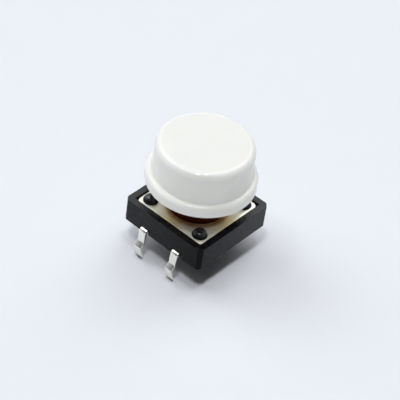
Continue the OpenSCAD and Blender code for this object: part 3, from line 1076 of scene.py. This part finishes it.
def terminal_mesh(context, which, finish):
    """One strip with its two leads, its arms and its contact lands."""
    s = in_mm(context.scene.switch_leads)
    path = strip_path(s)
    line = bpy.data.meshes.new("path")
    line.from_pydata([(x, 0.0, z) for x, z, _ in path], [(i, i + 1) for i in range(len(path) - 1)], [])
    bends = line.attributes.new("bend_radius", "FLOAT", "POINT")
    bends.data.foreach_set("value", [r for _, _, r in path])
    sizes = {key: getattr(s, key) for key in ("width", "thickness", "edge_round")}
    strip = run_tree(bent_strip, line, finish, bend_steps=ROUND_STEPS, **sizes)
    tip_x = s.reach + s.lean

    def chamfer_tips(bm):
        for side in (-1, 1):
            slope = Vector((side * s.tip_chamfer, 0.0, -s.thickness / 2)).normalized()
            parts = bm.verts[:] + bm.edges[:] + bm.faces[:]
            cut = bmesh.ops.bisect_plane(
                bm, geom=parts, plane_co=(side * tip_x, 0.0, -s.drop), plane_no=slope, clear_outer=True
            )["geom_cut"]
            bmesh.ops.edgeloop_fill(bm, edges=[e for e in cut if isinstance(e, bmesh.types.BMEdge)])

    edited(strip, chamfer_tips, face_outwards)
    centred = which == "centre"
    y = s.pitch / 2 if centred else -s.pitch / 2
    strip.transform(Matrix.Translation((0.0, y, 0.0)))
    low, high = s.middle - s.thickness / 2, s.middle + s.thickness / 2
    half = s.width / 2
    parts = []
    for x in (0.0,) if centred else (-s.land_place, s.land_place):
        arm = rectangle(x - half, min(0.0, y), x + half, max(0.0, y))
        parts.append(slab([arm], low, high, s.edge_round))
        land = circle(x, 0.0, s.land_diameter / 2, SMALL_STEPS)
        parts.append(slab([land], low, s.land_top, LAND_ROUND))
    return combined(strip, *with_each("UNION", parts))


class SWITCH_OT_terminals(bpy.types.Operator):
    """Make the two tinned strips with their kinked leads and contact lands"""

    bl_idname = "switch.terminals"
    bl_label = "Terminals"

    def execute(self, context):
        finish = new_finish(bright_tin)
        for which in ("centre", "outer"):
            mesh = terminal_mesh(context, which, finish)
            name, node = "lead_strip_" + which, "terminal_" + which
            finished_piece(name, mesh, finish, "base", [node])
        return {"FINISHED"}


# ---------------------------------------------------------------- stage

# Distance of every lamp from the switch, in metres, and the colour of its light
LAMP_DISTANCE, LAMP_TINT = 3.0, (0.985, 1.0, 1.03)
# Each lamp's bearing, height above the horizon and width as seen from the switch, in degrees, and the
# stage setting with its light
LAMPS = {
    "small lamp": (-163, 69, 7.5, "small_light"),
    "second small lamp": (-110, 83, 7.0, "second_light"),
    "overhead panel": (80, 74, 58, "top_light"),
    "third small lamp": (137, 64, 6.5, "third_light"),
    "left panel": (108, 44, 38, "left_light"),
    "back left panel": (95, 42, 32, "back_left_light"),
    "back right panel": (8, 62, 36, "back_right_light"),
    "right panel": (4, 42, 36, "right_light"),
}
# Cosines between which the room's dim side fades in
DIM_SPAN = (0.35, 0.85)
# Nearest and farthest distance that the camera sees, in metres
CLIP_NEAR, CLIP_FAR = 0.01, 10.0
FLOOR_STEPS = 64


def towards(bearing, height):
    """Direction of a bearing, anticlockwise from +X, and a height above the horizon."""
    flat = math.cos(height)
    return Vector((math.cos(bearing) * flat, math.sin(bearing) * flat, math.sin(height)))


def lamp(name, bearing, height, width, light_on_floor):
    """A round lamp aimed at the switch. A light of 1 shows a level floor's colours as written."""
    way = towards(math.radians(bearing), math.radians(height))
    data = bpy.data.lights.new(name, "AREA")
    data.shape, data.color = "DISK", LAMP_TINT
    data.size = 2 * LAMP_DISTANCE * math.tan(math.radians(width) / 2)
    data.energy = light_on_floor * math.pi**2 * LAMP_DISTANCE**2 / way.z
    obj = link(bpy.data.objects.new(name, data))
    obj.visible_camera = False
    obj.location = way * LAMP_DISTANCE
    obj.rotation_mode = "QUATERNION"
    obj.rotation_quaternion = way.to_track_quat("Z", "Y")


def backdrop(stage):
    """A world that lights softly and shows the backdrop's colour to the eye and in reflections, where
    the near side of the room is dim."""
    world = bpy.data.worlds.new("soft room")
    bpy.context.scene.world = world
    world.use_nodes = True
    tree = world.node_tree
    tree.nodes.clear()
    around = add(tree, "ShaderNodeTexCoord").outputs["Generated"]
    dim_side = towards(stage.dim_bearing, stage.dim_height)
    nearness = calc_vector(tree, "DOT_PRODUCT", around, dim_side)
    room = ramp(tree, nearness, DIM_SPAN, (1.0, stage.dim_share))
    rise = parts_of(tree, around)[2]
    glow = ramp(tree, rise, (stage.glow_height, 0.0), (stage.fill_light, stage.glow_light))

    def shine(colour, strength):
        return add(tree, "ShaderNodeBackground", {"Color": (*colour, 1.0), "Strength": strength})

    fill = shine((1.0, 1.0, 1.0), glow)
    seen, mirrored = (shine(stage.backdrop_colour, strength) for strength in (1.0, room))
    path = add(tree, "ShaderNodeLightPath").outputs
    clear = calc(tree, "MAXIMUM", path["Is Camera Ray"], path["Is Transmission Ray"])
    soft = add(tree, "ShaderNodeMixShader", {0: path["Is Glossy Ray"], 1: fill, 2: mirrored})
    mixed = add(tree, "ShaderNodeMixShader", {0: clear, 1: soft, 2: seen})
    add(tree, "ShaderNodeOutputWorld", {"Surface": mixed})


class SWITCH_OT_stage(bpy.types.Operator):
    """Make the pale floor, the backdrop, the soft lamps and the camera"""

    bl_idname = "switch.stage"
    bl_label = "Stage"

    def execute(self, context):
        stage = context.scene.switch_stage
        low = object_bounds()[0].z
        floor_mesh = bpy.data.meshes.new("floor")
        rim = [(x, y, low) for x, y in circle(0, 0, stage.floor_radius, FLOOR_STEPS)]
        floor_mesh.from_pydata(rim, [], [list(range(len(rim)))])
        floor_mesh.materials.append(new_finish(pale_paper))
        link(bpy.data.objects.new("floor", floor_mesh))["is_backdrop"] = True
        backdrop(stage)
        for name, (bearing, height, width, light) in LAMPS.items():
            lamp(name, bearing, height, width, getattr(stage, light))

        data = bpy.data.cameras.new("camera")
        data.lens, data.clip_start, data.clip_end = stage.lens, CLIP_NEAR, CLIP_FAR
        camera = link(bpy.data.objects.new("camera", data))
        back = towards(stage.azimuth - math.pi / 2, stage.elevation)
        camera.location = Vector(stage.aim) + back * stage.distance
        camera.rotation_mode = "QUATERNION"
        camera.rotation_quaternion = (-back).to_track_quat("-Z", "Y") @ Quaternion((0, 0, 1), stage.roll)
        context.scene.camera = camera
        context.scene.view_settings.view_transform = "Standard"
        return {"FINISHED"}


# ---------------------------------------------------------------- panel and registration

OPERATORS = (
    SWITCH_OT_housing,
    SWITCH_OT_cover,
    SWITCH_OT_plunger,
    SWITCH_OT_cap,
    SWITCH_OT_contact_dome,
    SWITCH_OT_terminals,
    SWITCH_OT_stage,
)

GROUPS = {
    "switch_housing": HousingSizes,
    "switch_cover": CoverSizes,
    "switch_plunger": PlungerSizes,
    "switch_cap": CapSizes,
    "switch_leads": LeadSizes,
    "switch_dome": DomeSizes,
    "switch_finishes": Finishes,
    "switch_stage": StageSettings,
}


class VIEW3D_PT_switch(bpy.types.Panel):
    """Lists the pieces of the switch and the stage"""

    bl_label = "Push button switch"
    bl_idname = "VIEW3D_PT_switch"
    bl_space_type = "VIEW_3D"
    bl_region_type = "UI"
    bl_category = "Switch"

    def draw(self, context):
        for operator in OPERATORS:
            self.layout.operator(operator.bl_idname)


def register():
    for cls in (*GROUPS.values(), *OPERATORS, VIEW3D_PT_switch):
        bpy.utils.register_class(cls)
    for name, cls in GROUPS.items():
        setattr(bpy.types.Scene, name, bpy.props.PointerProperty(type=cls))


def unregister():
    for name in GROUPS:
        delattr(bpy.types.Scene, name)
    for cls in reversed((*GROUPS.values(), *OPERATORS, VIEW3D_PT_switch)):
        bpy.utils.unregister_class(cls)


def main():
    register()
    for operator in OPERATORS:
        category, name = operator.bl_idname.split(".")
        getattr(getattr(bpy.ops, category), name)()


if __name__ == "__main__":
    main()
